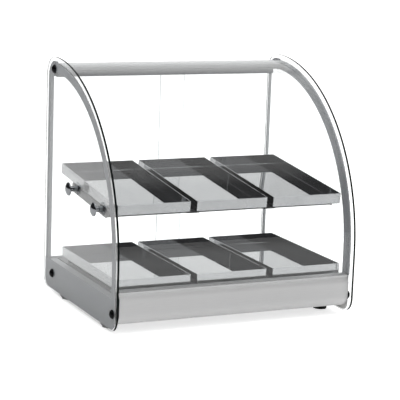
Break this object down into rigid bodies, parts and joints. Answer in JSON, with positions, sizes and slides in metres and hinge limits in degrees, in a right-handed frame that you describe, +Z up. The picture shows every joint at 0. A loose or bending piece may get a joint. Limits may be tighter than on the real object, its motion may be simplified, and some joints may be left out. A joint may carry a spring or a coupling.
{
  "type": "heated_display_case",
  "caption": "Counter-top heated display case with curved glass front, glass ends, sliding rear doors, a hot plate, and lower and sloping upper rows of polished trays",
  "frame": {"origin": "on the counter, midway between the outer faces of the side glasses and midway between the front and rear edges of the side glasses", "axes": "+X along the width, to the right seen from the customer's side; +Y towards the doors; +Z up"},
  "size_m": [0.6249, 0.474, 0.578],
  "materials": {
    "clear_glass": "clear polished, slightly green at the edges",
    "mirror_steel": "mirror-polished stainless steel",
    "satin_steel": "satin stainless steel",
    "hot_plate_steel": "heat-darkened stainless steel",
    "black_enamel": "black stoved enamel",
    "grey_paint": "satin grey",
    "satin_aluminium": "satin, lengthwise grain",
    "chrome": "polished",
    "galvanised_steel": "galvanised",
    "zinc_fasteners": "zinc plated",
    "heater_sheath": "dark oxidised sheath",
    "copper": "drawn copper",
    "brass": "plain",
    "nickel": "nickel plated",
    "black_plastic": "smooth moulded",
    "amber_plastic": "translucent moulded",
    "pale_plastic": "moulded phenolic",
    "black_rubber": "moulded",
    "seal_rubber": "silicone",
    "mineral_wool": "fibrous",
    "wire_sleeve": "silicone sleeve"
  },
  "bodies": {
    "cabinet": {"side_glass_left": "clear_glass", "side_glass_right": "clear_glass", "front_glass": "clear_glass", "base_front_sheet": "satin_steel", "deck": "hot_plate_steel", "shelf_side_bar_left": "black_enamel", "shelf_side_bar_right": "black_enamel", "shelf_grid": "black_enamel", "side_frame_left": "grey_paint", "side_frame_right": "grey_paint", "end_panel_left": "grey_paint", "end_panel_right": "grey_paint", "rear_panel": "grey_paint", "top_bar": "satin_aluminium", "lower_door_rail": "satin_aluminium", "shelf_knobs": "chrome", "shelf_screws": "chrome", "bottom_plate": "galvanised_steel", "insulation_pan": "galvanised_steel", "pan_stands": "galvanised_steel", "heater_clips": "galvanised_steel", "glass_screws": "zinc_fasteners", "weld_nuts": "zinc_fasteners", "foot_screws": "zinc_fasteners", "shelf_bolts": "zinc_fasteners", "deck_screws": "zinc_fasteners", "panel_screws": "zinc_fasteners", "shelf_spacers": "zinc_fasteners", "heater_element": "heater_sheath", "thermostat_bulb": "copper", "earth_stud": "brass", "thermostat_nut": "nickel", "screw_caps": "black_plastic", "switch_body": "black_plastic", "cable_gland_body": "black_plastic", "cable_gland_nut": "black_plastic", "cable_gland_locknut": "black_plastic", "pilot_lamp_body": "black_plastic", "pilot_lamp_lens": "amber_plastic", "thermostat_body": "pale_plastic", "terminal_block": "pale_plastic", "feet": "black_rubber", "front_glass_bottom_seal": "seal_rubber", "front_glass_top_seal": "seal_rubber", "insulation": "mineral_wool", "wiring": "wire_sleeve"},
    "door_left": {"door_left": "clear_glass", "door_runner_left": "black_plastic"},
    "door_right": {"door_right": "clear_glass", "door_runner_right": "black_plastic"},
    "thermostat_dial": {"thermostat_knob": "black_plastic", "thermostat_shaft": "zinc_fasteners"},
    "rocker": {"switch_rocker": "black_plastic"},
    "lower_tray_1": {"lower_tray_1": "mirror_steel"},
    "lower_tray_2": {"lower_tray_2": "mirror_steel"},
    "lower_tray_3": {"lower_tray_3": "mirror_steel"},
    "upper_tray_1": {"upper_tray_1": "mirror_steel"},
    "upper_tray_2": {"upper_tray_2": "mirror_steel"},
    "upper_tray_3": {"upper_tray_3": "mirror_steel"}
  },
  "joints": [
    {"name": "door_left_slide", "type": "slide", "parent": "cabinet", "child": "door_left", "axis": [1, 0, 0], "range_m": [0, 0.2337]},
    {"name": "door_right_slide", "type": "slide", "parent": "cabinet", "child": "door_right", "axis": [-1, 0, 0], "range_m": [0, 0.2697]},
    {"name": "thermostat_turn", "type": "hinge", "parent": "cabinet", "child": "thermostat_dial", "pos_m": [0.07, 0.212, 0.047], "axis": [0, 1, 0], "range_deg": [0, 270]},
    {"name": "switch_rock", "type": "hinge", "parent": "cabinet", "child": "rocker", "pos_m": [-0.06, 0.207, 0.047], "axis": [-1, 0, 0], "range_deg": [0, 14]},
    {"name": "lower_tray_1_lift", "type": "slide", "parent": "cabinet", "child": "lower_tray_1", "axis": [0, 0, 1], "range_m": [0, 0.09]},
    {"name": "lower_tray_2_lift", "type": "slide", "parent": "cabinet", "child": "lower_tray_2", "axis": [0, 0, 1], "range_m": [0, 0.09]},
    {"name": "lower_tray_3_lift", "type": "slide", "parent": "cabinet", "child": "lower_tray_3", "axis": [0, 0, 1], "range_m": [0, 0.09]},
    {"name": "upper_tray_1_draw", "type": "slide", "parent": "cabinet", "child": "upper_tray_1", "axis": [0, 0.9946, 0.1035], "range_m": [0, 0.044]},
    {"name": "upper_tray_2_draw", "type": "slide", "parent": "cabinet", "child": "upper_tray_2", "axis": [0, 0.9946, 0.1035], "range_m": [0, 0.044]},
    {"name": "upper_tray_3_draw", "type": "slide", "parent": "cabinet", "child": "upper_tray_3", "axis": [0, 0.9946, 0.1035], "range_m": [0, 0.044]}
  ]
}
